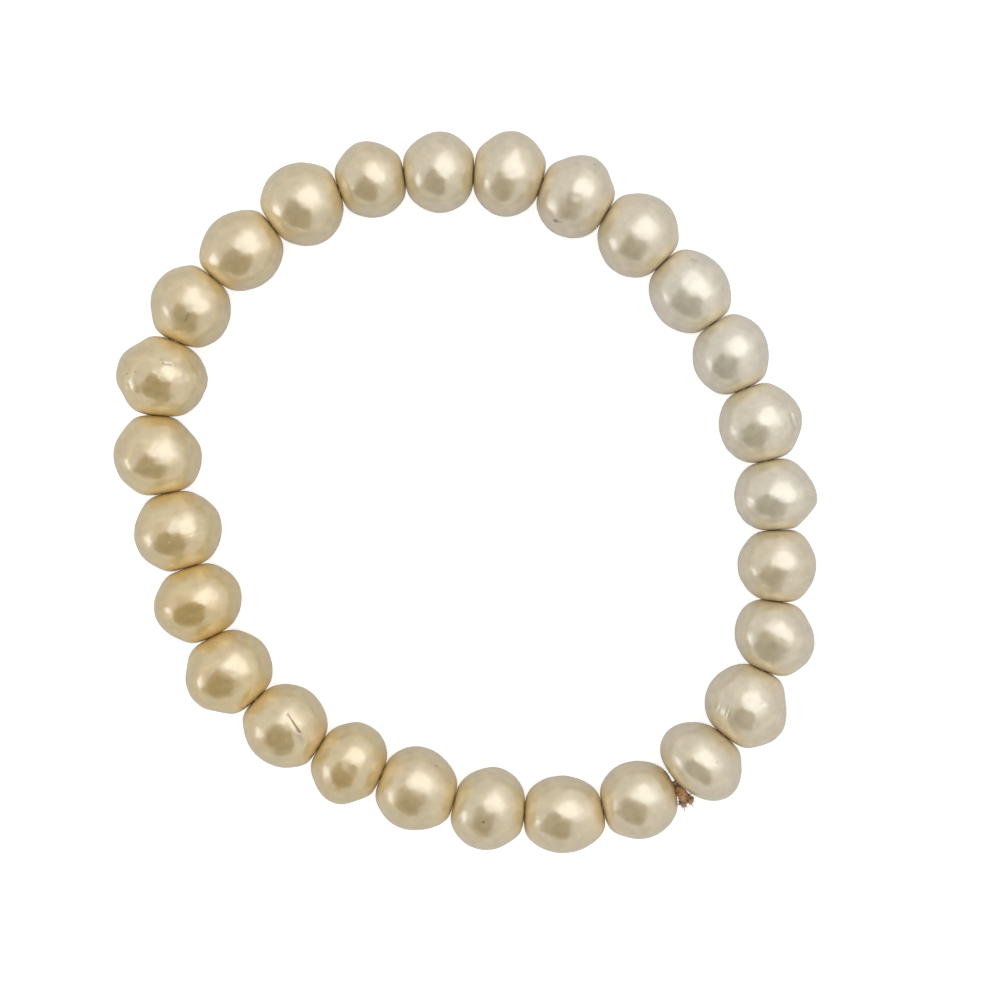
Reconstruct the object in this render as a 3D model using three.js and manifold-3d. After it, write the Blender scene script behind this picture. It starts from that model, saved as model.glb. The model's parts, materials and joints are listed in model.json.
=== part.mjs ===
// A bracelet of twenty-seven drilled freshwater pearls, strung side by side on one elastic cord
// whose ends are tied in a small knot. It lies flat in a loop, each pearl resting on the table.
// Millimetres, +Z up. The origin is the middle of the bracelet's footprint, at table height.
import * as THREE from "three";
import { mergeVertices } from "three/addons/utils/BufferGeometryUtils.js";
import Module from "manifold-3d";

// Driving dimensions of the pearls. Each row of the pearl table holds its own shares of the two means.
const PEARL_ACROSS = 7.7; // mean width of a pearl, square to its drill hole
const PEARL_ALONG = 6.6; // mean length of a pearl, between the flats at its drilled ends
const FULL_LENGTH = 1.09; // how long the body would be without those flats, as a share of that
const FLAT_SHARPNESS = 12; // how abruptly the flats cut it short, from 2, gently, upwards
const PEARL_GAP = 0.08; // clearance between neighbours, which press together on a real strand
const NECK_GAP = 0.35; // the same between the two pearls that the knot's neck comes out of

// Driving dimensions of the cord and its knot.
const CORD_DIAMETER = 0.6;
const BORE_CLEARANCE = 0.25; // room round the cord inside a drill hole
const KNOT_STRAND = 0.3; // the cord's thickness where the knot pulls it tight
const KNOT_TURN = 0.38; // radius of the knot's turns, to the middle of the strand
const KNOT_CLEARANCE = 0.08; // room between the knot and anything beside it
const TAIL_LENGTH = 0.6; // each cut end, from the middle of the knot's rim
const TAIL_SPLAY = 35; // degrees that each cut end leans off the way out

// How finely the round forms are faceted.
const PEARL_SIDES = 16;
const SKIN_RINGS = 9; // facets along a pearl, from one end of its drill hole to the other
const CORD_SIDES = 8;
const CORD_STEPS_PER_PEARL = 4;
const STRAND_SIDES = 6;
const KNOT_STEPS = 42;
const OUTLINE_POINTS = 96; // points that stand for a pearl's outline where its neighbours are fitted

// The pearls in stringing order, counter-clockwise seen from above, from the knot round to the knot.
// across and along are shares of the mean sizes, and tall is the height as a share of the width.
// lean slants the body along its hole, egg widens the end that faces the next pearl, and lop
// lengthens the side that faces out of the loop, all three as shares. heading is the direction in
// degrees from a pearl's middle to the next one's. gold is the nacre's tint, from white to gold.
const PEARLS = [
  { across: 1.07, tall: 0.98, along: 0.89, lean: 0.05, egg: -0.08, lop: -0.02, heading: 50.5, gold: 0.2 },
  { across: 1.02, tall: 1.0, along: 1.02, lean: -0.05, egg: -0.05, lop: -0.07, heading: 68.5, gold: 0.15 },
  { across: 0.98, tall: 0.97, along: 0.95, lean: -0.1, egg: 0.02, lop: -0.03, heading: 88, gold: 0.2 },
  { across: 0.94, tall: 1.02, along: 0.97, lean: -0.01, egg: -0.01, lop: 0.03, heading: 91.5, gold: 0.2 },
  { across: 0.99, tall: 0.99, along: 0.95, lean: -0.05, egg: -0.06, lop: -0.04, heading: 102, gold: 0.1 },
  { across: 1.0, tall: 0.97, along: 1.02, lean: 0, egg: -0.02, lop: -0.04, heading: 113.5, gold: 0.1 },
  { across: 0.94, tall: 1.0, along: 0.99, lean: 0.07, egg: 0, lop: 0.02, heading: 123, gold: 0.05 },
  { across: 0.95, tall: 0.98, along: 1.08, lean: 0, egg: -0.01, lop: 0, heading: 133, gold: 0.1 },
  { across: 1.02, tall: 0.97, along: 1.02, lean: 0.03, egg: -0.03, lop: 0, heading: 148, gold: 0.2 },
  { across: 1.02, tall: 0.99, along: 0.96, lean: -0.01, egg: -0.02, lop: -0.07, heading: 162, gold: 0.3 },
  { across: 1.03, tall: 0.97, along: 0.93, lean: -0.02, egg: -0.01, lop: 0.01, heading: 178.5, gold: 0.4 },
  { across: 0.97, tall: 1.0, along: 0.94, lean: 0, egg: -0.01, lop: -0.02, heading: 186, gold: 0.5 },
  { across: 0.92, tall: 1.03, along: 0.9, lean: 0.02, egg: 0, lop: -0.08, heading: 200.5, gold: 0.7 },
  { across: 1.02, tall: 0.98, along: 1.04, lean: 0.02, egg: 0.02, lop: 0.05, heading: 217, gold: 0.75 },
  { across: 0.95, tall: 1.01, along: 1.07, lean: 0.04, egg: -0.01, lop: 0.01, heading: 227.5, gold: 0.8 },
  { across: 1.0, tall: 0.98, along: 1, lean: -0.05, egg: 0.01, lop: -0.03, heading: 248, gold: 0.85 },
  { across: 1.09, tall: 0.95, along: 1.02, lean: 0, egg: 0.01, lop: -0.03, heading: 266.5, gold: 0.85 },
  { across: 1.04, tall: 0.97, along: 1.06, lean: -0.04, egg: 0.05, lop: -0.04, heading: 285, gold: 0.9 },
  { across: 1.05, tall: 0.96, along: 1.05, lean: -0.01, egg: 0.02, lop: 0, heading: 285.5, gold: 0.95 },
  { across: 1.06, tall: 0.97, along: 0.99, lean: 0.01, egg: 0, lop: -0.02, heading: 293.5, gold: 1 },
  { across: 1.07, tall: 0.96, along: 1.03, lean: -0.01, egg: 0.01, lop: -0.07, heading: 316.5, gold: 1 },
  { across: 1.0, tall: 1.0, along: 1.07, lean: 0, egg: -0.01, lop: -0.01, heading: 329.5, gold: 0.9 },
  { across: 1.01, tall: 0.98, along: 0.93, lean: -0.02, egg: 0.02, lop: -0.02, heading: 339, gold: 0.85 },
  { across: 1.0, tall: 0.98, along: 1.06, lean: 0.01, egg: -0.07, lop: 0.02, heading: 344.5, gold: 0.75 },
  { across: 1.0, tall: 0.99, along: 0.97, lean: -0.03, egg: 0.01, lop: 0.01, heading: 355.5, gold: 0.7 },
  { across: 0.93, tall: 1.02, along: 1.07, lean: 0.03, egg: -0.04, lop: 0, heading: 11, gold: 0.55 },
  { across: 0.94, tall: 1.0, along: 1.01, lean: 0.03, egg: -0.03, lop: 0, heading: 32, gold: 0.35 },
];

const NACRE_WHITE = new THREE.Color("#e3dccb");
const NACRE_GOLD = new THREE.Color("#dccb96");
const CORD_PEACH = new THREE.Color("#d3a880");

const wasm = await Module();
wasm.setup();

const DEGREES = Math.PI / 180;
const BORE_RADIUS = CORD_DIAMETER / 2 + BORE_CLEARANCE;
const direction = (angle) => new THREE.Vector2(Math.cos(angle), Math.sin(angle));
const around = (list, i) => list[(i + list.length) % list.length];

// A point of the unit sphere, given along the drill hole, out of the loop and up, moved to the
// pearl's own skin. The pearl's middle is the origin, with +X towards the next pearl and -Y outwards.
function skinPoint(pearl, along, out, up) {
  const girth = ((pearl.across * PEARL_ACROSS) / 2) * (1 + pearl.egg * along);
  const cut = 1 + (FULL_LENGTH ** FLAT_SHARPNESS - 1) * Math.abs(along) ** FLAT_SHARPNESS;
  const reach = along * FULL_LENGTH * cut ** (-1 / FLAT_SHARPNESS);
  const length = ((pearl.along * PEARL_ALONG) / 2) * (1 + pearl.lop * out);
  return new THREE.Vector3(reach * length + pearl.lean * girth * out, -out * girth, up * girth * pearl.tall);
}

// The pearl's outline seen from above, turned to the angle of its drill hole.
function outline(pearl, angle) {
  return Array.from({ length: OUTLINE_POINTS }, (_, i) => {
    const turn = (2 * Math.PI * i) / OUTLINE_POINTS;
    const { x, y } = skinPoint(pearl, Math.cos(turn), Math.sin(turn), 0);
    return new THREE.Vector2(x, y).rotateAround(new THREE.Vector2(), angle);
  });
}

// A drill hole points midway between the way to its pearl from the last one and the way on.
function boreAngles(headings) {
  return headings.map((heading, i) =>
    direction(heading).add(direction(around(headings, i - 1))).angle(),
  );
}

// How far apart two neighbours' middles are when their skins clear each other by the gap: the
// least distance at which some line between them keeps the two outlines apart.
function pitch(pearl, next, angle, nextAngle, heading, gap) {
  const SCAN = 50 * DEGREES;
  const here = outline(pearl, angle);
  const there = outline(next, nextAngle);
  let least = Infinity;
  for (let tilt = -SCAN; tilt <= SCAN; tilt += DEGREES) {
    const normal = direction(heading + tilt);
    const reach = Math.max(...here.map((p) => p.dot(normal)));
    const back = Math.max(...there.map((p) => -p.dot(normal)));
    least = Math.min(least, (reach + back + gap) / Math.cos(tilt));
  }
  return least;
}

// Turns the headings as little as is needed for the chain of pitches to end where it began.
function closeLoop(headings, pitches) {
  let [p, q] = [0, 0];
  const turned = () => headings.map((h) => h + p * Math.cos(h) + q * Math.sin(h));
  for (let pass = 0; pass < 8; pass++) {
    const sums = { x: 0, y: 0, xp: 0, xq: 0, yp: 0, yq: 0 };
    turned().forEach((h, i) => {
      const [sine, cosine] = [Math.sin(h), Math.cos(h)].map((v) => v * pitches[i]);
      sums.x += cosine;
      sums.y += sine;
      sums.xp -= sine * Math.cos(headings[i]);
      sums.xq -= sine * Math.sin(headings[i]);
      sums.yp += cosine * Math.cos(headings[i]);
      sums.yq += cosine * Math.sin(headings[i]);
    });
    const det = sums.xp * sums.yq - sums.xq * sums.yp;
    p -= (sums.x * sums.yq - sums.y * sums.xq) / det;
    q -= (sums.y * sums.xp - sums.x * sums.yp) / det;
  }
  return turned();
}

// A drilled pearl: the skin from one rim of the hole to the other, closed by the wall of the hole.
function pearlGeometry(pearl) {
  const rim = Math.asin(BORE_RADIUS / ((pearl.across * PEARL_ACROSS) / 2));
  const profile = [];
  for (let ring = 0; ring <= SKIN_RINGS; ring++) {
    const polar = rim + ((Math.PI - 2 * rim) * ring) / SKIN_RINGS;
    profile.push(new THREE.Vector2(Math.sin(polar), -Math.cos(polar)));
  }
  profile.push(profile[0].clone());
  const geometry = new THREE.LatheGeometry(profile, PEARL_SIDES, Math.PI / PEARL_SIDES);
  geometry.rotateZ(-Math.PI / 2);
  const at = geometry.attributes.position;
  for (let i = 0; i < at.count; i++) {
    const [along, out, up] = [at.getX(i), -at.getY(i), at.getZ(i)];
    const point = skinPoint(pearl, along, out, up);
    const onRim = Math.hypot(out, up) < 1.001 * Math.sin(rim);
    const grip = onRim ? BORE_RADIUS / Math.hypot(point.y, point.z) : 1;
    at.setXYZ(i, point.x, point.y * grip, point.z * grip);
  }
  return geometry;
}

// Lays the pearls out one after another: where each one's middle is, and how its drill hole points.
function layOut() {
  const wanted = PEARLS.map((pearl) => pearl.heading * DEGREES);
  let headings = wanted;
  let pitches = [];
  for (let pass = 0; pass < 4; pass++) {
    const angles = boreAngles(headings);
    pitches = PEARLS.map((pearl, i) => {
      const gap = i === PEARLS.length - 1 ? NECK_GAP : PEARL_GAP;
      return pitch(pearl, around(PEARLS, i + 1), angles[i], around(angles, i + 1), headings[i], gap);
    });
    headings = closeLoop(wanted, pitches);
  }
  const angles = boreAngles(headings);
  const middle = new THREE.Vector2();
  return PEARLS.map((pearl, i) => {
    const geometry = pearlGeometry(pearl);
    geometry.computeBoundingBox();
    const place = { pearl, geometry, angle: angles[i], heading: headings[i] };
    place.middle = new THREE.Vector3(middle.x, middle.y, -geometry.boundingBox.min.z);
    middle.addScaledVector(direction(headings[i]), pitches[i]);
    return place;
  });
}

// An end of a pearl's drill hole, ahead of its middle or behind it.
function boreEnd(place, side) {
  const reach = (side * place.pearl.along * PEARL_ALONG) / 2;
  const way = direction(place.angle);
  return new THREE.Vector3(way.x, way.y, 0).multiplyScalar(reach).add(place.middle);
}

// Where the cord crosses from each pearl to the next: midway between the two facing drill holes.
function crossings(places) {
  return places.map((place, i) => boreEnd(place, 1).lerp(boreEnd(around(places, i + 1), -1), 0.5));
}

// The cord runs almost straight through each pearl and bends between them.
function cordGeometry(points) {
  const BEND = 0.15;
  const path = new THREE.CatmullRomCurve3(points, true, "catmullrom", BEND);
  const steps = points.length * CORD_STEPS_PER_PEARL;
  return new THREE.TubeGeometry(path, steps, CORD_DIAMETER / 2, CORD_SIDES, true);
}

function solidOf(geometry) {
  const bare = geometry.clone();
  bare.deleteAttribute("normal");
  bare.deleteAttribute("uv");
  const merged = mergeVertices(bare);
  const mesh = new wasm.Mesh({
    numProp: 3,
    vertProperties: new Float32Array(merged.attributes.position.array),
    triVerts: new Uint32Array(merged.index.array),
  });
  return new wasm.Manifold(mesh);
}

function geometryOf(solid) {
  const { vertProperties, triVerts } = solid.getMesh();
  const geometry = new THREE.BufferGeometry();
  geometry.setAttribute("position", new THREE.BufferAttribute(vertProperties, 3));
  geometry.setIndex(new THREE.BufferAttribute(triVerts, 1));
  return geometry;
}

// A straight piece of strand between two points of the knot's frame.
function strand(from, to) {
  const way = to.clone().sub(from);
  const geometry = new THREE.CylinderGeometry(KNOT_STRAND / 2, KNOT_STRAND / 2, way.length(), STRAND_SIDES);
  const turn = new THREE.Quaternion().setFromUnitVectors(new THREE.Vector3(0, 1, 0), way.clone().normalize());
  geometry.applyQuaternion(turn);
  return geometry.translate(...from.clone().lerp(to, 0.5).toArray());
}

// How far out of the cord's line the knot sits: as deep in the notch between its pearls as it fits.
function knotReach(places, start) {
  const halfDepth = 1.5 * KNOT_TURN + KNOT_STRAND / 2 + KNOT_CLEARANCE;
  const halfThick = KNOT_TURN / 2 + KNOT_STRAND / 2 + KNOT_CLEARANCE;
  const last = around(places, -1);
  const skins = [last, places[0]].flatMap((place) =>
    outline(place.pearl, place.angle).map((p) =>
      p
        .add(new THREE.Vector2(place.middle.x - start.x, place.middle.y - start.y))
        .rotateAround(new THREE.Vector2(), -last.heading),
    ),
  );
  const STEP = 0.05;
  const blocked = (reach) =>
    skins.some((p) => (p.x / halfThick) ** 2 + ((-p.y - reach) / halfDepth) ** 2 < 1);
  let reach = CORD_DIAMETER / 2 + halfDepth;
  while (blocked(reach)) reach += STEP;
  return reach;
}

// The knot: an overhand knot pulled tight beside the cord, its neck towards the cord, and two cut
// ends. Its frame has +X along the strand, -Y out of the loop and +Z up, from the crossing.
function knotGeometry(reach) {
  const out = (distance, x = 0, z = 0) => new THREE.Vector3(x, -distance, z);
  const turns = new THREE.TorusKnotGeometry(KNOT_TURN, KNOT_STRAND / 2, KNOT_STEPS, STRAND_SIDES, 2, 3);
  turns.rotateY(Math.PI / 2);
  turns.translate(...out(reach).toArray());
  const neck = strand(out(CORD_DIAMETER / 2 + KNOT_CLEARANCE), out(reach - KNOT_TURN / 2));
  const root = reach + KNOT_TURN;
  const lean = TAIL_SPLAY * DEGREES;
  const tails = [-1, 1].map((side) => {
    const from = out(root, (side * KNOT_STRAND) / 4, (side * KNOT_TURN) / 2);
    const tip = out(TAIL_LENGTH * Math.cos(lean), side * TAIL_LENGTH * Math.sin(lean), 0);
    return strand(from, from.clone().add(tip));
  });
  return geometryOf([neck, ...tails].reduce((whole, g) => whole.add(solidOf(g)), solidOf(turns)));
}

function nacre(gold) {
  const color = NACRE_WHITE.clone().lerp(NACRE_GOLD, gold);
  return new THREE.MeshStandardMaterial({ color, roughness: 0.3, metalness: 0.15 });
}

const bracelet = new THREE.Group();

function addMesh(name, geometry, material) {
  const mesh = new THREE.Mesh(geometry, material);
  mesh.name = name;
  bracelet.add(mesh);
  return mesh;
}

const places = layOut();
places.forEach((place, i) => {
  const name = `pearl_${String(i + 1).padStart(2, "0")}`;
  const mesh = addMesh(name, place.geometry, nacre(place.pearl.gold));
  mesh.position.copy(place.middle);
  mesh.rotation.z = place.angle;
});

const cordPoints = crossings(places);
const cordMaterial = new THREE.MeshStandardMaterial({ color: CORD_PEACH, roughness: 0.7, metalness: 0 });
addMesh("cord", cordGeometry(cordPoints), cordMaterial);

const neckPoint = around(cordPoints, -1);
const knot = addMesh("knot", knotGeometry(knotReach(places, neckPoint)), cordMaterial);
knot.position.copy(neckPoint);
knot.rotation.z = around(places, -1).heading;

// Centres the footprint on the origin and sets the lowest pearl on the table.
const size = new THREE.Box3().setFromObject(bracelet, true);
const centre = size.getCenter(new THREE.Vector3());
bracelet.children.forEach((mesh) => mesh.position.sub(new THREE.Vector3(centre.x, centre.y, size.min.z)));

export default bracelet;
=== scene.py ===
"""A stretch bracelet of drilled freshwater pearls, white to golden, lying flat and seen from above."""

import json
import math
import random

import bmesh
import bpy
from mathutils import Matrix, Vector, noise
from mathutils.bvhtree import BVHTree

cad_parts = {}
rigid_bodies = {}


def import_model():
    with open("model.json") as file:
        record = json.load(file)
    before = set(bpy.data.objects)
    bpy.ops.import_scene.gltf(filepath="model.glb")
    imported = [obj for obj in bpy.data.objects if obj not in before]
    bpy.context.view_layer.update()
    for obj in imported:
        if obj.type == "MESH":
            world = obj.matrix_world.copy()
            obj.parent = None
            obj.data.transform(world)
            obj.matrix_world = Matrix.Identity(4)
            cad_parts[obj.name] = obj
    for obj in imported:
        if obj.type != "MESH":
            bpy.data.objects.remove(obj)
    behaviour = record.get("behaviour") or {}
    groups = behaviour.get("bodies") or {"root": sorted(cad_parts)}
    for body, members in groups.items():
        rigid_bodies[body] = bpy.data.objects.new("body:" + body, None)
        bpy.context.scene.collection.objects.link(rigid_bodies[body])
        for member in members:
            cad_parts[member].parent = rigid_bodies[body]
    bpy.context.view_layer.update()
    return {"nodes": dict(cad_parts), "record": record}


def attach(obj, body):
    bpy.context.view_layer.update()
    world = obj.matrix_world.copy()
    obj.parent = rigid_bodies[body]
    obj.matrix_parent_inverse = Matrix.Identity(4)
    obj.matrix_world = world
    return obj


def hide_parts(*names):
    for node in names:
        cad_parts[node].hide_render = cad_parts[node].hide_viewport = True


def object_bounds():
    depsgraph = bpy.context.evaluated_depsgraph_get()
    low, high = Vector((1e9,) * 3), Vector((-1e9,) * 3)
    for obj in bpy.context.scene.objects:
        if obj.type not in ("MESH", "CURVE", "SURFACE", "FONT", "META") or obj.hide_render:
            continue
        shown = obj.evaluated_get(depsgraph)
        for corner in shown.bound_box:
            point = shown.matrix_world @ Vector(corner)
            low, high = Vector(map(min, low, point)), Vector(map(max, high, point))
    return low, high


for left_over in list(bpy.data.objects):
    bpy.data.objects.remove(left_over)
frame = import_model()
MM = 0.001

# Drilled pearls: nacre grown in thin layers round a bead of tissue, so no two are the same shape.
# Each is a near-round body, ground off a little at both ends of its drill hole. They are laid out
# by the frame, and here each one gets a smooth skin with the low swellings that real ones have.
PEARL_NAMES = sorted(name for name in frame["nodes"] if name.startswith("pearl_"))

# The solids' triangles become four-sided faces where they are FLAT_ENOUGH, and are then subdivided.
# The cage is moved CAGE_FITS times, until the smooth skin passes through the solid's own points.
MERGE = 0.001 * MM
FLAT_ENOUGH = math.radians(60)
SMOOTHING = 3
FINE_SMOOTHING = 4
CAGE_FITS = 5

# Low swellings and smaller dimples, by their length along the skin. Each pearl starts one step
# further on in their pattern. They fade towards the ground ends and stop short of the hole.
SWELL_LENGTH = 2.4 * MM
DIMPLE_LENGTH = 0.8 * MM
DIMPLE_SHARE = 0.34
PATTERN_STEP = Vector((17.3, 5.1, 9.7))
CALM_POWER = 4
NEAR_HOLE = 0.9 * MM

# Real neighbours touch, so the ground ends are moved up to the planes halfway between them, but for
# BEDDED_GAP. They move all the way within BEDDED_RADIUS of the hole's line, and not at all beyond
# ROUNDED_RADIUS. On the outer side of the knotted pair they stay back, to leave the knot's neck its
# room, and NECK_ROOM is the width over which that comes in.
BEDDED_GAP = 0.01 * MM
BEDDED_RADIUS = 0.55 * MM
ROUNDED_RADIUS = 2.75 * MM
NECK_ROOM = 3.2 * MM

# Sides that grew against something flat. towards is the side's direction in the view from above, in
# degrees from the right, limit is how far from the pearl's middle the flat starts, and give is how
# far the skin may still bulge past that, both in millimetres.
PRESSED_SIDES = {
    "pearl_03": {"towards": 215, "limit": 3.30, "give": 0.28},
    "pearl_05": {"towards": -42, "limit": 3.20, "give": 0.30},
    "pearl_18": {"towards": 42, "limit": 3.42, "give": 0.32},
    "pearl_23": {"towards": -70, "limit": 3.30, "give": 0.25},
}

# Grooves, wrinkles and specks on the upper side of the pearls that have them. Each runs from one
# spot to another, in millimetres to the right of the pearl's middle and up from it in the view from
# above. width and depth are in millimetres, with a ridge as a negative depth, and the last column is
# the share of dark colour laid along the mark.
MARKS = {
    "pearl_02": [
        {"from": (-3.05, -0.30), "to": (-2.45, 0.95), "width": 0.13, "depth": -0.020, "darkening": 0.0},
        {"from": (-2.75, -0.65), "to": (-2.05, 1.15), "width": 0.13, "depth": -0.024, "darkening": 0.0},
        {"from": (-2.40, -0.85), "to": (-1.70, 1.30), "width": 0.13, "depth": -0.022, "darkening": 0.0},
        {"from": (-2.00, -0.80), "to": (-1.35, 1.35), "width": 0.12, "depth": -0.016, "darkening": 0.0},
    ],
    "pearl_06": [
        {"from": (2.85, 0.83), "to": (3.28, -0.37), "width": 0.17, "depth": -0.075, "darkening": 0.0},
        {"from": (2.60, 0.75), "to": (2.98, -0.55), "width": 0.14, "depth": 0.060, "darkening": 0.35},
        {"from": (2.20, 0.30), "to": (2.35, -1.60), "width": 0.11, "depth": 0.016, "darkening": 0.12},
        {"from": (2.75, -0.60), "to": (2.70, -1.90), "width": 0.11, "depth": 0.018, "darkening": 0.16},
    ],
    "pearl_08": [
        {"from": (0.10, 2.80), "to": (0.45, 2.74), "width": 0.30, "depth": 0.030, "darkening": 0.22},
    ],
    "pearl_10": [
        {"from": (1.72, 2.73), "to": (1.73, 2.74), "width": 0.13, "depth": 0.0, "darkening": 1.0},
        {"from": (-1.95, -2.46), "to": (-1.75, -2.48), "width": 0.24, "depth": 0.0, "darkening": 0.75},
        {"from": (-1.48, -2.62), "to": (-1.36, -2.58), "width": 0.14, "depth": 0.0, "darkening": 0.40},
    ],
    "pearl_16": [
        {"from": (-0.50, -1.30), "to": (-0.02, -0.72), "width": 0.16, "depth": -0.035, "darkening": 0.0},
        {"from": (-0.20, -1.42), "to": (0.08, -0.95), "width": 0.20, "depth": 0.040, "darkening": 0.30},
    ],
    "pearl_17": [
        {"from": (0.37, 1.20), "to": (1.15, 1.12), "width": 0.14, "depth": 0.045, "darkening": 0.40},
        {"from": (0.30, 1.60), "to": (0.38, 1.20), "width": 0.12, "depth": 0.030, "darkening": 0.30},
        {"from": (-3.00, 0.28), "to": (-2.90, 0.30), "width": 0.13, "depth": 0.0, "darkening": 0.55},
        {"from": (-2.20, 0.46), "to": (-2.12, 0.42), "width": 0.13, "depth": 0.0, "darkening": 0.50},
        {"from": (-2.70, -0.30), "to": (-2.60, -0.36), "width": 0.12, "depth": 0.0, "darkening": 0.40},
    ],
    "pearl_19": [
        {"from": (1.10, -0.20), "to": (2.80, 0.45), "width": 0.11, "depth": -0.020, "darkening": 0.0},
        {"from": (1.30, -0.36), "to": (2.70, 0.20), "width": 0.12, "depth": 0.014, "darkening": 0.14},
    ],
    "pearl_22": [
        {"from": (0.28, 1.29), "to": (1.38, -0.37), "width": 0.17, "depth": 0.065, "darkening": 0.32},
        {"from": (0.50, 1.35), "to": (1.58, -0.28), "width": 0.14, "depth": -0.030, "darkening": 0.0},
        {"from": (1.25, -0.75), "to": (1.65, -1.25), "width": 0.42, "depth": 0.045, "darkening": 0.20},
    ],
    "pearl_24": [
        {"from": (1.75, 2.30), "to": (1.85, 2.28), "width": 0.16, "depth": 0.0, "darkening": 0.40},
    ],
    "pearl_25": [
        {"from": (-0.46, -0.92), "to": (-0.44, -0.92), "width": 0.13, "depth": 0.0, "darkening": 1.0},
    ],
}

# A mark's depth falls off to both sides as a bell curve, to next to nothing at MARK_REACH widths.
# The pearls with the most carving get a finer skin, so that it stays sharp.
MARK_REACH = 2
MARK_FALL = 2
CARVED = {"pearl_02", "pearl_06", "pearl_17", "pearl_22"}


def quad_copy(node):
    """The CAD solid as one connected skin of four-sided faces."""
    shape = bmesh.new()
    shape.from_mesh(frame["nodes"][node].data)
    bmesh.ops.remove_doubles(shape, verts=shape.verts, dist=MERGE)
    bmesh.ops.join_triangles(
        shape,
        faces=shape.faces,
        angle_face_threshold=FLAT_ENOUGH,
        angle_shape_threshold=FLAT_ENOUGH,
    )
    for face in shape.faces:
        face.smooth = True
    return shape


def finished_mesh(stand_in):
    """The mesh that an object's modifiers or its bevel make. The object itself is removed."""
    bpy.context.scene.collection.objects.link(stand_in)
    view = bpy.context.evaluated_depsgraph_get()
    mesh = bpy.data.meshes.new_from_object(stand_in.evaluated_get(view))
    bpy.data.objects.remove(stand_in)
    return mesh


def subdivided(shape, levels):
    """A bmesh's skin after that many rounds of smoothing. Its first points stand for the bmesh's own."""
    cage = bpy.data.meshes.new("cage")
    shape.to_mesh(cage)
    stand_in = bpy.data.objects.new("cage", cage)
    skin = stand_in.modifiers.new("skin", "SUBSURF")
    skin.levels = skin.render_levels = levels
    smooth = finished_mesh(stand_in)
    bpy.data.meshes.remove(cage)
    return smooth


def smooth_mesh(name, shape, levels):
    """A smooth skin that still passes through all the bmesh's points. It uses the bmesh up."""
    goals = [vert.co.copy() for vert in shape.verts]
    for _ in range(CAGE_FITS):
        trial = subdivided(shape, 1)
        for vert, goal, reached in zip(shape.verts, goals, trial.vertices):
            vert.co += goal - reached.co
        bpy.data.meshes.remove(trial)
    finished = subdivided(shape, levels)
    shape.free()
    finished.name = name
    return finished


def add_piece(name, mesh, material, slot, *nodes):
    """Puts a finished mesh in the scene in place of its CAD nodes."""
    piece = bpy.data.objects.new(name, mesh)
    bpy.context.scene.collection.objects.link(piece)
    piece.data.materials.clear()
    piece.data.materials.append(material)
    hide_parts(*nodes)
    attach(piece, "root")


def drill_hole(shape):
    """A hole's wall edges and rim points, its two ends in the loop's order, and the way between them.

    The walls run the whole length of the hole, so their edges are by far the longest of the solid.
    """
    longest = max(edge.calc_length() for edge in shape.edges)
    walls = [edge for edge in shape.edges if edge.calc_length() > longest / 2]
    way = walls[0].verts[1].co - walls[0].verts[0].co
    if walls[0].verts[0].co.cross(way).z < 0:
        way.negate()
    way.normalize()
    rims = list(dict.fromkeys(vert for edge in walls for vert in edge.verts))
    middle = sum((vert.co for vert in rims), Vector()) / len(rims)
    ends = []
    for side in (-1, 1):
        rim = [vert.co for vert in rims if side * (vert.co - middle).dot(way) > 0]
        ends.append(sum(rim, Vector()) / len(rim))
    return {"walls": walls, "rims": rims, "ends": ends, "way": way}


def distance_to_line(spot, start, end):
    """How far a spot of the view from above lies from the line between two others."""
    along = end - start
    share = min(1, max(0, (spot - start).dot(along) / along.length_squared))
    return (spot - start - along * share).length


def carve(mesh, name, middle):
    """Presses the flat sides and cuts the grooves and ridges of one pearl into its skin."""
    if name in PRESSED_SIDES:
        side = PRESSED_SIDES[name]
        angle = math.radians(side["towards"])
        outward = Vector((math.cos(angle), math.sin(angle), 0))
        give = side["give"] * MM
        for vert in mesh.vertices:
            over = (vert.co - middle).dot(outward) - side["limit"] * MM
            if over > 0:
                vert.co -= outward * (over - give * (1 - math.exp(-over / give)))
    mesh.update()
    normals = [vert.normal.copy() for vert in mesh.vertices]
    for mark in MARKS.get(name, []):
        if not mark["depth"]:
            continue
        start = Vector(mark["from"]) * MM + middle.xy
        end = Vector(mark["to"]) * MM + middle.xy
        for vert, normal in zip(mesh.vertices, normals):
            if vert.co.z > middle.z:
                share = distance_to_line(vert.co.xy, start, end) / (mark["width"] * MM)
                if share < MARK_REACH:
                    vert.co -= normal * mark["depth"] * MM * math.exp(-MARK_FALL * share * share)


cages = {name: quad_copy(name) for name in PEARL_NAMES}
holes = {name: drill_hole(cages[name]) for name in PEARL_NAMES}


def bed_ends(name):
    """Brings a pearl's ground ends up to the planes where it meets the pearls before and after it.

    The last pearl and the first keep their distance on the outer side, where the knot's neck is.
    """
    place = PEARL_NAMES.index(name)
    before = PEARL_NAMES[place - 1]
    after = PEARL_NAMES[(place + 1) % len(PEARL_NAMES)]
    ends = holes[name]["ends"]
    way = holes[name]["way"]
    middle = (ends[0] + ends[1]) / 2
    meetings = [
        ((ends[0] + holes[before]["ends"][1]) / 2, -(way + holes[before]["way"]).normalized()),
        ((ends[1] + holes[after]["ends"][0]) / 2, (way + holes[after]["way"]).normalized()),
    ]
    for vert in cages[name].verts:
        offset = vert.co - middle
        along = offset.dot(way)
        across = (offset - way * along).length
        meeting, outward = meetings[1 if along > 0 else 0]
        share = min(1, max(0, (ROUNDED_RADIUS - across) / (ROUNDED_RADIUS - BEDDED_RADIUS)))
        if {name, after if along > 0 else before} == {PEARL_NAMES[0], PEARL_NAMES[-1]}:
            outwards = offset.dot(middle.xy.normalized().to_3d())
            share *= min(1, max(0, 0.5 - outwards / NECK_ROOM))
        gap = (meeting - vert.co).dot(outward) - BEDDED_GAP
        vert.co += way * math.copysign(gap * share, along)


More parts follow.
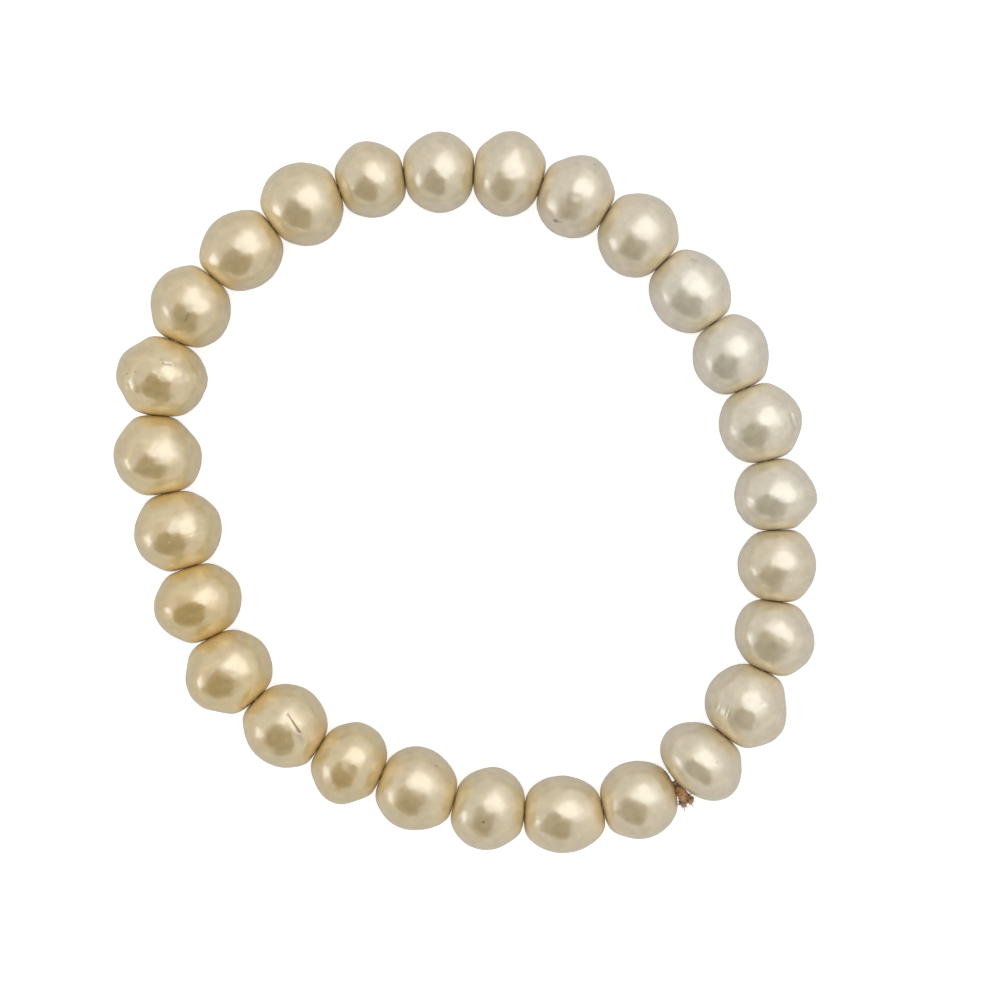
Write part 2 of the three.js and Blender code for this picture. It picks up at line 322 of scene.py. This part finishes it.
def pearl_mesh(name, swelling):
    """A pearl's skin, with its hole, in the place that the frame gives it."""
    shape = cages[name]
    hole = holes[name]
    ends = hole["ends"]
    way = hole["way"]
    middle = (ends[0] + ends[1]) / 2
    turned = way.to_track_quat("X", "Z").to_matrix().to_4x4()
    reach = (ends[1] - ends[0]).length / 2
    bed_ends(name)
    crease = shape.edges.layers.float.new("crease_edge")
    for edge in shape.edges:
        if edge not in hole["walls"] and all(vert in hole["rims"] for vert in edge.verts):
            edge[crease] = 1
            edge.smooth = False
    mesh = smooth_mesh(name, shape, FINE_SMOOTHING if name in CARVED else SMOOTHING)
    seed = PATTERN_STEP * (1 + PEARL_NAMES.index(name))
    normals = [vert.normal.copy() for vert in mesh.vertices]
    for vert, normal in zip(mesh.vertices, normals):
        offset = vert.co - middle
        if offset.cross(way).length < NEAR_HOLE:
            continue
        calm_ends = 1 - min(1, abs(offset.dot(way)) / reach) ** CALM_POWER
        rise = noise.noise(offset / SWELL_LENGTH + seed)
        rise += DIMPLE_SHARE * noise.noise(offset / DIMPLE_LENGTH - seed)
        vert.co += normal * rise * calm_ends * swelling * MM
    carve(mesh, name, middle)
    mesh.update()
    return mesh, middle, turned


# Nacre: stacked platelets of clear mineral over a cream to golden body. It shines softly and nearly
# without colour, with a rose or green cast in places, faint rings round the drill hole, tiny pits
# and an uneven depth of colour. The pearls run from white on one side of the loop to gold.
WHITE_BODY = (0.60, 0.55, 0.40)
GOLD_BODY = (0.60, 0.405, 0.115)
WHITE_CAST = (0.65, 0.56, 0.46)
GOLD_CAST = (0.58, 0.445, 0.15)
# The amber colours are partly the ends' own tone and partly painted light, a glow where neighbours meet.
WHITE_AMBER_GLOW = (0.76, 0.64, 0.42)
GOLD_AMBER_GLOW = (0.80, 0.57, 0.20)

# gold is the tint from white to gold, lustre sharpens the shine, swelling is the height in
# millimetres of the skin's low swellings, and rings is the strength of the rings, as a share.
PEARL_LOOKS = {
    "pearl_01": {"gold": 0.30, "lustre": 0.5, "swelling": 0.05, "rings": 0.3},
    "pearl_02": {"gold": 0.28, "lustre": 0.6, "swelling": 0.10, "rings": 0.5},
    "pearl_03": {"gold": 0.28, "lustre": 0.6, "swelling": 0.08, "rings": 0.3},
    "pearl_04": {"gold": 0.33, "lustre": 0.4, "swelling": 0.09, "rings": 0.4},
    "pearl_05": {"gold": 0.10, "lustre": 0.6, "swelling": 0.08, "rings": 0.3},
    "pearl_06": {"gold": 0.13, "lustre": 0.7, "swelling": 0.08, "rings": 0.5},
    "pearl_07": {"gold": 0.00, "lustre": 0.5, "swelling": 0.07, "rings": 0.4},
    "pearl_08": {"gold": 0.04, "lustre": 0.3, "swelling": 0.08, "rings": 0.3},
    "pearl_09": {"gold": 0.24, "lustre": 0.4, "swelling": 0.06, "rings": 0.3},
    "pearl_10": {"gold": 0.24, "lustre": 0.4, "swelling": 0.10, "rings": 0.4},
    "pearl_11": {"gold": 0.36, "lustre": 0.5, "swelling": 0.08, "rings": 0.3},
    "pearl_12": {"gold": 0.36, "lustre": 0.6, "swelling": 0.06, "rings": 0.3},
    "pearl_13": {"gold": 0.55, "lustre": 0.8, "swelling": 0.06, "rings": 0.3},
    "pearl_14": {"gold": 0.60, "lustre": 0.8, "swelling": 0.06, "rings": 0.3},
    "pearl_15": {"gold": 0.70, "lustre": 0.8, "swelling": 0.07, "rings": 0.3},
    "pearl_16": {"gold": 0.75, "lustre": 0.7, "swelling": 0.08, "rings": 0.5},
    "pearl_17": {"gold": 0.80, "lustre": 0.8, "swelling": 0.16, "rings": 0.7},
    "pearl_18": {"gold": 0.80, "lustre": 0.8, "swelling": 0.10, "rings": 0.5},
    "pearl_19": {"gold": 0.85, "lustre": 0.8, "swelling": 0.10, "rings": 0.7},
    "pearl_20": {"gold": 1.00, "lustre": 0.8, "swelling": 0.10, "rings": 0.8},
    "pearl_21": {"gold": 0.90, "lustre": 0.9, "swelling": 0.08, "rings": 0.6},
    "pearl_22": {"gold": 0.75, "lustre": 0.4, "swelling": 0.08, "rings": 0.5},
    "pearl_23": {"gold": 0.85, "lustre": 0.5, "swelling": 0.11, "rings": 0.6},
    "pearl_24": {"gold": 0.68, "lustre": 0.3, "swelling": 0.06, "rings": 0.3},
    "pearl_25": {"gold": 0.53, "lustre": 0.2, "swelling": 0.06, "rings": 0.3},
    "pearl_26": {"gold": 0.53, "lustre": 0.7, "swelling": 0.06, "rings": 0.3},
    "pearl_27": {"gold": 0.44, "lustre": 0.7, "swelling": 0.05, "rings": 0.3},
}


def new_group(name, inputs, outputs):
    """An empty shader node group with its sockets, and its two end nodes."""
    group = bpy.data.node_groups.new(name, "ShaderNodeTree")
    for socket, kind in inputs:
        group.interface.new_socket(socket, in_out="INPUT", socket_type=kind)
    for socket, kind in outputs:
        group.interface.new_socket(socket, in_out="OUTPUT", socket_type=kind)
    start = group.nodes.new("NodeGroupInput")
    end = group.nodes.new("NodeGroupOutput")
    return group, start, end


def add_node(tree, kind, **settings):
    """A node of that kind with its settings, and any socket value given by the socket's name."""
    node = tree.nodes.new(kind)
    sockets = settings.pop("sockets", {})
    for key, value in settings.items():
        setattr(node, key, value)
    for key, value in sockets.items():
        node.inputs[key].default_value = value
    return node


def feed(tree, sockets, values):
    """Gives each socket its value: a link where that is another node's socket, or else the number."""
    for socket, value in zip(sockets, values):
        if isinstance(value, bpy.types.NodeSocket):
            tree.links.new(value, socket)
        else:
            socket.default_value = value


def math_node(tree, operation, first, second):
    """A Math node fed by sockets or plain numbers, which gives back its result."""
    node = add_node(tree, "ShaderNodeMath", operation=operation)
    feed(tree, node.inputs, (first, second))
    return node.outputs["Value"]


def stretched_noise(tree, vector, stretch, scale, detail):
    """Noise over a vector in millimetres that is first stretched along its axes."""
    mapping = add_node(tree, "ShaderNodeMapping", sockets={"Scale": stretch})
    tree.links.new(vector, mapping.inputs["Vector"])
    texture = add_node(tree, "ShaderNodeTexNoise", sockets={"Scale": scale, "Detail": detail})
    tree.links.new(mapping.outputs["Vector"], texture.inputs["Vector"])
    return texture.outputs["Fac"]


def ramp(tree, value, low, high, start, end):
    """Maps a value from low and high to start and end, held inside them."""
    node = add_node(tree, "ShaderNodeMapRange", clamp=True)
    feed(tree, node.inputs, (value, low, high, start, end))
    return node.outputs["Result"]


def blend_colours(tree, mode, factor, first, second):
    """A colour mix fed by sockets or plain colours, which gives back its result."""
    node = add_node(tree, "ShaderNodeMix", data_type="RGBA", blend_type=mode)
    colour_a = node.inputs[6]
    colour_b = node.inputs[7]
    feed(tree, (node.inputs["Factor"], colour_a, colour_b), (factor, first, second))
    mixed_colour = node.outputs[2]
    return mixed_colour


EVEN = (1, 1, 1)
ALONG_RINGS = (4, 0.4, 0.4)
PIT_COLOUR = (0.30, 0.22, 0.12, 1)


def build_nacre():
    """The nacre's colour, roughness and relief over a place in millimetres, with +X along the hole."""
    group, start, end = new_group(
        "nacre",
        [
            ("Place", "NodeSocketVector"),
            ("Body", "NodeSocketColor"),
            ("Cast", "NodeSocketColor"),
            ("Amber_glow", "NodeSocketColor"),
            ("Dullness", "NodeSocketFloat"),
            ("Rings", "NodeSocketFloat"),
        ],
        [
            ("Colour", "NodeSocketColor"),
            ("Roughness", "NodeSocketFloat"),
            ("Relief", "NodeSocketFloat"),
        ],
    )
    place = start.outputs["Place"]

    # An uneven depth of colour, cloudy all over. Near the hole's ends it turns a lighter amber, partly
    # its own tone and partly painted light, a glow where neighbours meet.
    patchy = stretched_noise(group, place, EVEN, scale=0.4, detail=5)
    depth = ramp(group, patchy, low=0.36, high=0.64, start=0.0, end=0.9)
    cast = blend_colours(group, "MIX", depth, start.outputs["Body"], start.outputs["Cast"])
    split = group.nodes.new("ShaderNodeSeparateXYZ")
    group.links.new(place, split.inputs["Vector"])
    from_middle = math_node(group, "ABSOLUTE", split.outputs["X"], 0.0)
    wander_noise = stretched_noise(group, place, EVEN, scale=0.6, detail=3)
    wander = math_node(group, "MULTIPLY", wander_noise, 1.2)
    end_distance = math_node(group, "ADD", from_middle, wander)
    end_glow_share = ramp(group, end_distance, low=2.2, high=4.0, start=0.0, end=0.7)
    end_glowed = blend_colours(group, "MIX", end_glow_share, cast, start.outputs["Amber_glow"])
    cloud_noise = stretched_noise(group, place, EVEN, scale=1.1, detail=5)
    cloud = ramp(group, cloud_noise, low=0.3, high=0.7, start=0.89, end=1.08)

    # Rings round the hole, which are thin along it
    ring_noise = stretched_noise(group, place, ALONG_RINGS, scale=1.0, detail=2)
    ring_waves = math_node(group, "SUBTRACT", ring_noise, 0.5)
    ring_lines = math_node(group, "MULTIPLY", ring_waves, start.outputs["Rings"])
    ring_tone = math_node(group, "MULTIPLY", ring_lines, 0.20)
    ring_shade = math_node(group, "ADD", ring_tone, cloud)
    shade = group.nodes.new("ShaderNodeCombineColor")
    for socket in shade.inputs:
        group.links.new(ring_shade, socket)
    tinted = blend_colours(group, "MULTIPLY", 1.0, end_glowed, shade.outputs["Color"])

    # Tiny pits, a few to each pearl, a little darker than the nacre round them
    cells = add_node(group, "ShaderNodeTexVoronoi", feature="F1", sockets={"Scale": 0.3})
    group.links.new(place, cells.inputs["Vector"])
    pits = ramp(group, cells.outputs["Distance"], low=0.02, high=0.06, start=1.0, end=0.0)
    pit_darkening = math_node(group, "MULTIPLY", pits, 0.14)
    pitted = blend_colours(group, "MIX", pit_darkening, tinted, PIT_COLOUR)
    group.links.new(pitted, end.inputs["Colour"])

    # Sharper and duller patches, and pits that hardly shine
    patch_noise = stretched_noise(group, place, EVEN, scale=1.6, detail=4)
    patches = ramp(group, patch_noise, low=0.35, high=0.65, start=-0.04, end=0.06)
    dull = math_node(group, "ADD", start.outputs["Dullness"], patches)
    dull_pits = math_node(group, "MULTIPLY", pits, 0.3)
    group.links.new(math_node(group, "ADD", dull, dull_pits), end.inputs["Roughness"])

    # A fine uneven surface, with the rings in it and the pits sunk
    peel_noise = stretched_noise(group, place, EVEN, scale=2.2, detail=3)
    peel = math_node(group, "MULTIPLY", peel_noise, 0.85)
    ring_relief = math_node(group, "MULTIPLY", ring_lines, 0.9)
    fine = math_node(group, "ADD", peel, ring_relief)
    pit_depth = math_node(group, "MULTIPLY", pits, 0.5)
    group.links.new(math_node(group, "SUBTRACT", fine, pit_depth), end.inputs["Relief"])
    return group


def build_mark():
    """How much of a place in millimetres lies on a line between two others, with a ragged edge."""
    group, start, end = new_group(
        "mark",
        [
            ("Place", "NodeSocketVector"),
            ("Start", "NodeSocketVector"),
            ("End", "NodeSocketVector"),
            ("Width", "NodeSocketFloat"),
        ],
        [("Mask", "NodeSocketFloat")],
    )

    def vector_node(operation, first, second, result="Vector"):
        node = add_node(group, "ShaderNodeVectorMath", operation=operation)
        group.links.new(first, node.inputs[0])
        group.links.new(second, node.inputs["Scale" if operation == "SCALE" else 1])
        return node.outputs[result]

    along = vector_node("SUBTRACT", start.outputs["End"], start.outputs["Start"])
    offset = vector_node("SUBTRACT", start.outputs["Place"], start.outputs["Start"])
    length_squared = vector_node("DOT_PRODUCT", along, along, "Value")
    reached = vector_node("DOT_PRODUCT", offset, along, "Value")
    share = math_node(group, "DIVIDE", reached, length_squared)
    held = ramp(group, share, low=0.0, high=1.0, start=0.0, end=1.0)
    distance = vector_node("DISTANCE", offset, vector_node("SCALE", along, held), "Value")
    ragged_noise = stretched_noise(group, start.outputs["Place"], EVEN, scale=7.0, detail=3)
    ragged = math_node(group, "SUBTRACT", ragged_noise, 0.5)
    widths = math_node(group, "DIVIDE", distance, start.outputs["Width"])
    edge = math_node(group, "ADD", widths, math_node(group, "MULTIPLY", ragged, 1.2))
    group.links.new(ramp(group, edge, low=0.35, high=1.0, start=1.0, end=0.0), end.inputs["Mask"])
    return group


NACRE = build_nacre()
MARK = build_mark()
RELIEF_DEPTH = 0.034 * MM
MARK_DARK = (0.10, 0.065, 0.03, 1)

# The roughness of the nacre's body, for a lustre of 0 and of 1. The sharper part of the shine comes
# from its clear top layer, because a body under about 0.28 renders with dark specks.
DULLEST = 0.40
SHARPEST = 0.32


def nacre_material(name, looks, middle, turned):
    """One pearl's own nacre. Its pattern is centred on the pearl and turned to its drill hole."""
    material = bpy.data.materials.new(f"nacre_{name}")
    material.use_nodes = True
    tree = material.node_tree
    shader = tree.nodes["Principled BSDF"]
    where = tree.nodes.new("ShaderNodeTexCoord")
    centred = add_node(tree, "ShaderNodeMapping", vector_type="TEXTURE")
    centred.inputs["Location"].default_value = middle
    centred.inputs["Rotation"].default_value = turned.to_euler()
    centred.inputs["Scale"].default_value = (MM, MM, MM)
    tree.links.new(where.outputs["Object"], centred.inputs["Vector"])
    nacre = add_node(tree, "ShaderNodeGroup", node_tree=NACRE)
    tree.links.new(centred.outputs["Vector"], nacre.inputs["Place"])
    gold = looks["gold"]
    # The amber near the ends is partly painted light, standing in for light between neighbours.
    for socket, white, golden in (
        ("Body", WHITE_BODY, GOLD_BODY),
        ("Cast", WHITE_CAST, GOLD_CAST),
        ("Amber_glow", WHITE_AMBER_GLOW, GOLD_AMBER_GLOW),
    ):
        nacre.inputs[socket].default_value = (*Vector(white).lerp(Vector(golden), gold), 1)
    nacre.inputs["Dullness"].default_value = DULLEST + (SHARPEST - DULLEST) * looks["lustre"]
    nacre.inputs["Rings"].default_value = looks["rings"]
    tree.links.new(nacre.outputs["Roughness"], shader.inputs["Roughness"])
    shader.inputs["Metallic"].default_value = 0.1
    shader.inputs["IOR"].default_value = 2.3
    shader.inputs["Coat Weight"].default_value = 1.0
    shader.inputs["Coat Roughness"].default_value = 0.21
    shader.inputs["Coat IOR"].default_value = 1.9
    shader.inputs["Subsurface Weight"].default_value = 0.5
    shader.inputs["Subsurface Radius"].default_value = (1.0, 0.8, 0.5)
    shader.inputs["Subsurface Scale"].default_value = 0.8 * MM
    bump = add_node(tree, "ShaderNodeBump", sockets={"Strength": 0.5, "Distance": RELIEF_DEPTH})
    tree.links.new(nacre.outputs["Relief"], bump.inputs["Height"])
    tree.links.new(bump.outputs["Normal"], shader.inputs["Normal"])
    return material, centred.outputs["Vector"], nacre.outputs["Colour"]


ABOVE_PEARL = Vector((0, 0, 20 * MM))
DOWN = Vector((0, 0, -1))


def darken_marks(material, place, colour, name, mesh, middle, turned):
    """Darkens the nacre along the pearl's own marks, then hands the colour to the shader."""
    tree = material.node_tree
    points = [vert.co for vert in mesh.vertices]
    faces = [face.vertices for face in mesh.polygons]
    skin = BVHTree.FromPolygons(points, faces)
    for mark in MARKS.get(name, []):
        if not mark["darkening"]:
            continue
        node = add_node(tree, "ShaderNodeGroup", node_tree=MARK, sockets={"Width": mark["width"]})
        tree.links.new(place, node.inputs["Place"])
        for socket, spot in (("Start", "from"), ("End", "to")):
            above = middle + Vector((*mark[spot], 0)) * MM + ABOVE_PEARL
            point = skin.ray_cast(above, DOWN)[0]
            node.inputs[socket].default_value = turned.to_3x3().inverted() @ (point - middle) / MM
        darkness = math_node(tree, "MULTIPLY", node.outputs["Mask"], mark["darkening"])
        colour = blend_colours(tree, "MIX", darkness, colour, MARK_DARK)
    tree.links.new(colour, tree.nodes["Principled BSDF"].inputs["Base Color"])


slots = {part["node"]: part["material_slot"] for part in frame["record"]["subparts"]}
for name in PEARL_NAMES:
    looks = PEARL_LOOKS[name]
    mesh, middle, turned = pearl_mesh(name, looks["swelling"])
    material, place, colour = nacre_material(name, looks, middle, turned)
    darken_marks(material, place, colour, name, mesh, middle, turned)
    add_piece(f"{name}_skin", mesh, material, slots[name], name)

# The elastic cord: a round bundle of rubber threads in spun fibre, old and worn, peach to tan. It is
# threaded through all the pearls and runs in the middle of their drill holes.
CORD_PEACH = (0.62, 0.34, 0.16, 1)
CORD_TAN = (0.34, 0.18, 0.06, 1)
FIBRE_DEPTH = 0.02 * MM
CORD_SMOOTHING = 2
ALONG_STRANDS = (9, 9, 2.5)


def build_fibre():
    """Spun fibre over a place in millimetres: its colour between two others, and its relief."""
    group, start, end = new_group(
        "spun_fibre",
        [("Place", "NodeSocketVector"), ("Light", "NodeSocketColor"), ("Dark", "NodeSocketColor")],
        [("Colour", "NodeSocketColor"), ("Relief", "NodeSocketFloat")],
    )
    place = start.outputs["Place"]
    strands = stretched_noise(group, place, ALONG_STRANDS, scale=1.0, detail=6)
    clumps = stretched_noise(group, place, EVEN, scale=3.0, detail=3)
    both = math_node(group, "ADD", strands, clumps)
    shade = ramp(group, both, low=0.8, high=1.2, start=0.0, end=1.0)
    colour = blend_colours(group, "MIX", shade, start.outputs["Dark"], start.outputs["Light"])
    group.links.new(colour, end.inputs["Colour"])
    group.links.new(strands, end.inputs["Relief"])
    return group


SPUN_FIBRE = build_fibre()


def fibre_material(name, light, dark):
    """The cord's finish: dull, a little furry, and shaded from strand to strand."""
    material = bpy.data.materials.new(name)
    material.use_nodes = True
    tree = material.node_tree
    shader = tree.nodes["Principled BSDF"]
    where = tree.nodes.new("ShaderNodeTexCoord")
    scaled = add_node(tree, "ShaderNodeMapping", sockets={"Scale": (1 / MM, 1 / MM, 1 / MM)})
    tree.links.new(where.outputs["Object"], scaled.inputs["Vector"])
    colours = {"Light": light, "Dark": dark}
    fibre = add_node(tree, "ShaderNodeGroup", node_tree=SPUN_FIBRE, sockets=colours)
    tree.links.new(scaled.outputs["Vector"], fibre.inputs["Place"])
    tree.links.new(fibre.outputs["Colour"], shader.inputs["Base Color"])
    shader.inputs["Roughness"].default_value = 0.75
    shader.inputs["Sheen Weight"].default_value = 0.3
    shader.inputs["Sheen Roughness"].default_value = 0.5
    bump = add_node(tree, "ShaderNodeBump", sockets={"Strength": 0.8, "Distance": FIBRE_DEPTH})
    tree.links.new(fibre.outputs["Relief"], bump.inputs["Height"])
    tree.links.new(bump.outputs["Normal"], shader.inputs["Normal"])
    return material


cord_fibre = fibre_material("cord_fibre", CORD_PEACH, CORD_TAN)
cord_mesh = smooth_mesh("cord", quad_copy("cord"), CORD_SMOOTHING)
add_piece("cord_strand", cord_mesh, cord_fibre, slots["cord"], "cord")

# The knot: the cord's own ends, tied in one overhand knot and pulled into the outer notch between the
# last pearl and the first. The strand has swollen there, and its covering is rubbed and lumpy.
STRAND_SWELL = 0.17 * MM
FUZZ_LENGTH = 0.14 * MM
FUZZ_SHARE = 0.8
knot_mesh = smooth_mesh("knot", quad_copy("knot"), CORD_SMOOTHING)
knot_normals = [vert.normal.copy() for vert in knot_mesh.vertices]
for vert, normal in zip(knot_mesh.vertices, knot_normals):
    fuzz = 1 + FUZZ_SHARE * noise.noise(vert.co / FUZZ_LENGTH)
    vert.co += normal * STRAND_SWELL * fuzz
knot_mesh.update()
add_piece("knot_strand", knot_mesh, cord_fibre, slots["knot"], "knot")

# The frayed ends: where the cord was cut, its covering has come apart into fine loose fibres, which
# are darker than the cord. Each starts a little inside the outermost part of the knot, and all of
# them point more or less away from the loop. STRAY, LEAN and CURL are shares of a hair's direction.
HAIRS = 260
HAIR_LENGTH = 0.7 * MM
SHORTEST_SHARE = 0.35
HAIR_THICKNESS = 0.025 * MM
HAIR_STEPS = 5
HAIR_SINK = 2
HAIR_STRAY = 0.35
HAIR_LEAN = 0.5
HAIR_CURL = 0.5
TIP_THINNING = 0.6
FRAYED_SHARE = 0.3
FRAY_LIGHT = (0.42, 0.22, 0.09, 1)
FRAY_DARK = (0.12, 0.06, 0.03, 1)
chance = random.Random(27)
hair_curve = bpy.data.curves.new("knot_hairs", "CURVE")
hair_curve.dimensions = "3D"
hair_curve.bevel_depth = HAIR_THICKNESS
hair_curve.bevel_resolution = 0
hair_curve.use_fill_caps = True
knot_middle = sum((vert.co for vert in knot_mesh.vertices), Vector()) / len(knot_mesh.vertices)
away_from_loop = knot_middle.xy.normalized().to_3d()
outermost_first = sorted(knot_mesh.vertices, key=lambda vert: -vert.co.dot(away_from_loop))
frayed_tips = outermost_first[: int(len(outermost_first) * FRAYED_SHARE)]
for _ in range(HAIRS):
    root = chance.choice(frayed_tips)
    stray = Vector([chance.gauss(0, HAIR_STRAY) for _ in range(3)])
    direction = (root.normal + stray + away_from_loop * HAIR_LEAN).normalized()
    curl = Vector([chance.gauss(0, HAIR_CURL) for _ in range(3)])
    length = HAIR_LENGTH * chance.uniform(SHORTEST_SHARE, 1)
    hair = hair_curve.splines.new("POLY")
    hair.points.add(HAIR_STEPS - 1)
    spot = root.co - root.normal * HAIR_THICKNESS * HAIR_SINK
    for step, point in enumerate(hair.points):
        point.co = (*spot, 1)
        point.radius = 1 - TIP_THINNING * step / HAIR_STEPS
        spot = spot + direction * length / HAIR_STEPS
        direction = (direction + curl / HAIR_STEPS).normalized()
hair_mesh = finished_mesh(bpy.data.objects.new("knot_hairs", hair_curve))
frayed_fibre = fibre_material("frayed_fibre", FRAY_LIGHT, FRAY_DARK)
knot_fray = bpy.data.objects.new("knot_fray", hair_mesh)
bpy.context.scene.collection.objects.link(knot_fray)
hair_mesh.materials.clear()
hair_mesh.materials.append(frayed_fibre)
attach(knot_fray, "root")

# The floor is a plain pale sheet under the lowest pearl. A glow that only the camera sees lifts it to
# white, as in the photograph, while the pearls mirror the sheet as it is.
FLOOR_SIZE = 3.0
FLOOR_TONE = 0.72
FLOOR_LIFT = 0.65
sheet = bmesh.new()
bmesh.ops.create_grid(sheet, x_segments=1, y_segments=1, size=FLOOR_SIZE / 2)
bmesh.ops.translate(sheet, vec=(0, 0, min(0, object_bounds()[0][2])), verts=sheet.verts)
floor_mesh = bpy.data.meshes.new("floor")
sheet.to_mesh(floor_mesh)
sheet.free()
floor = bpy.data.objects.new("floor", floor_mesh)
bpy.context.scene.collection.objects.link(floor)
floor_paint = bpy.data.materials.new("floor_paint")
floor_paint.use_nodes = True
floor_shader = floor_paint.node_tree.nodes["Principled BSDF"]
floor_shader.inputs["Base Color"].default_value = (FLOOR_TONE, FLOOR_TONE, FLOOR_TONE, 1)
floor_shader.inputs["Roughness"].default_value = 0.9
floor_shader.inputs["Specular IOR Level"].default_value = 0.0
floor_shader.inputs["Emission Color"].default_value = (1, 1, 1, 1)
seen = floor_paint.node_tree.nodes.new("ShaderNodeLightPath")
lift = math_node(floor_paint.node_tree, "MULTIPLY", seen.outputs["Is Camera Ray"], FLOOR_LIFT)
floor_paint.node_tree.links.new(lift, floor_shader.inputs["Emission Strength"])
floor.data.materials.append(floor_paint)

# Soft studio light: an even pale room, a large window overhead to the right with a wider glow round
# it, and a slim window low on the left. A dark panel above the front left makes the dark patch that
# each pearl mirrors beside its middle.
ROOM_BRIGHTNESS = 0.93
world = bpy.data.worlds.new("room")
bpy.context.scene.world = world
world.use_nodes = True
world.node_tree.nodes["Background"].inputs["Color"].default_value = (1.0, 1.0, 0.985, 1)
world.node_tree.nodes["Background"].inputs["Strength"].default_value = ROOM_BRIGHTNESS


def facing(azimuth, elevation, distance):
    """Where something stands, and its turn so that it faces the bracelet. Azimuth is from +X."""
    turn = math.radians(azimuth)
    rise = math.radians(elevation)
    away = Vector((math.cos(rise) * math.cos(turn), math.cos(rise) * math.sin(turn), math.sin(rise)))
    return Matrix.Translation(away * distance) @ away.to_track_quat("Z", "Y").to_matrix().to_4x4()


def add_window(name, azimuth, elevation, distance, width, height, brightness):
    """A rectangular light that looks at the bracelet, with its brightness on the room's own scale."""
    light = bpy.data.lights.new(name, "AREA")
    light.shape = "RECTANGLE"
    light.size = width
    light.size_y = height
    light.energy = brightness * math.pi * width * height
    lamp = bpy.data.objects.new(name, light)
    bpy.context.scene.collection.objects.link(lamp)
    lamp.matrix_world = facing(azimuth, elevation, distance)
    lamp.visible_camera = False
    lamp.visible_diffuse = False


add_window("window", azimuth=38, elevation=66, distance=1.2, width=1.35, height=1.35, brightness=1.35)
add_window("window_glow", azimuth=38, elevation=60, distance=1.3, width=2.3, height=2.3, brightness=0.3)
add_window("side_window", azimuth=195, elevation=6, distance=1.2, width=0.42, height=0.5, brightness=2.2)

PANEL_SIZE = 0.74
card = bmesh.new()
bmesh.ops.create_grid(card, x_segments=1, y_segments=1, size=PANEL_SIZE / 2)
bmesh.ops.transform(card, matrix=facing(azimuth=246, elevation=51, distance=0.5), verts=card.verts)
card_mesh = bpy.data.meshes.new("dark_panel")
card.to_mesh(card_mesh)
card.free()
dark_panel = bpy.data.objects.new("dark_panel", card_mesh)
bpy.context.scene.collection.objects.link(dark_panel)
panel_cloth = bpy.data.materials.new("panel_cloth")
panel_cloth.use_nodes = True
panel_shader = panel_cloth.node_tree.nodes["Principled BSDF"]
panel_shader.inputs["Base Color"].default_value = (0.02, 0.018, 0.015, 1)
panel_shader.inputs["Roughness"].default_value = 1.0
dark_panel.data.materials.append(panel_cloth)
dark_panel.visible_camera = False
dark_panel.visible_diffuse = False

# The photograph's view: straight down from above, with the loop a little left of the middle.
VIEW_WIDTH = 92 * MM
CAMERA_HEIGHT = 350 * MM
PEARL_MIDDLE_HEIGHT = 3.8 * MM
PHOTO_CENTRE = Vector((3.15 * MM, -0.7 * MM, 0))
SENSOR = 36.0
camera_data = bpy.data.cameras.new("camera")
camera_data.sensor_width = SENSOR
camera_data.lens = SENSOR * (CAMERA_HEIGHT - PEARL_MIDDLE_HEIGHT) / VIEW_WIDTH
camera_data.clip_start = 10 * MM
camera = bpy.data.objects.new("camera", camera_data)
camera.location = PHOTO_CENTRE + Vector((0, 0, CAMERA_HEIGHT))
bpy.context.scene.collection.objects.link(camera)
bpy.context.scene.camera = camera
bpy.context.scene.view_settings.view_transform = "Standard"
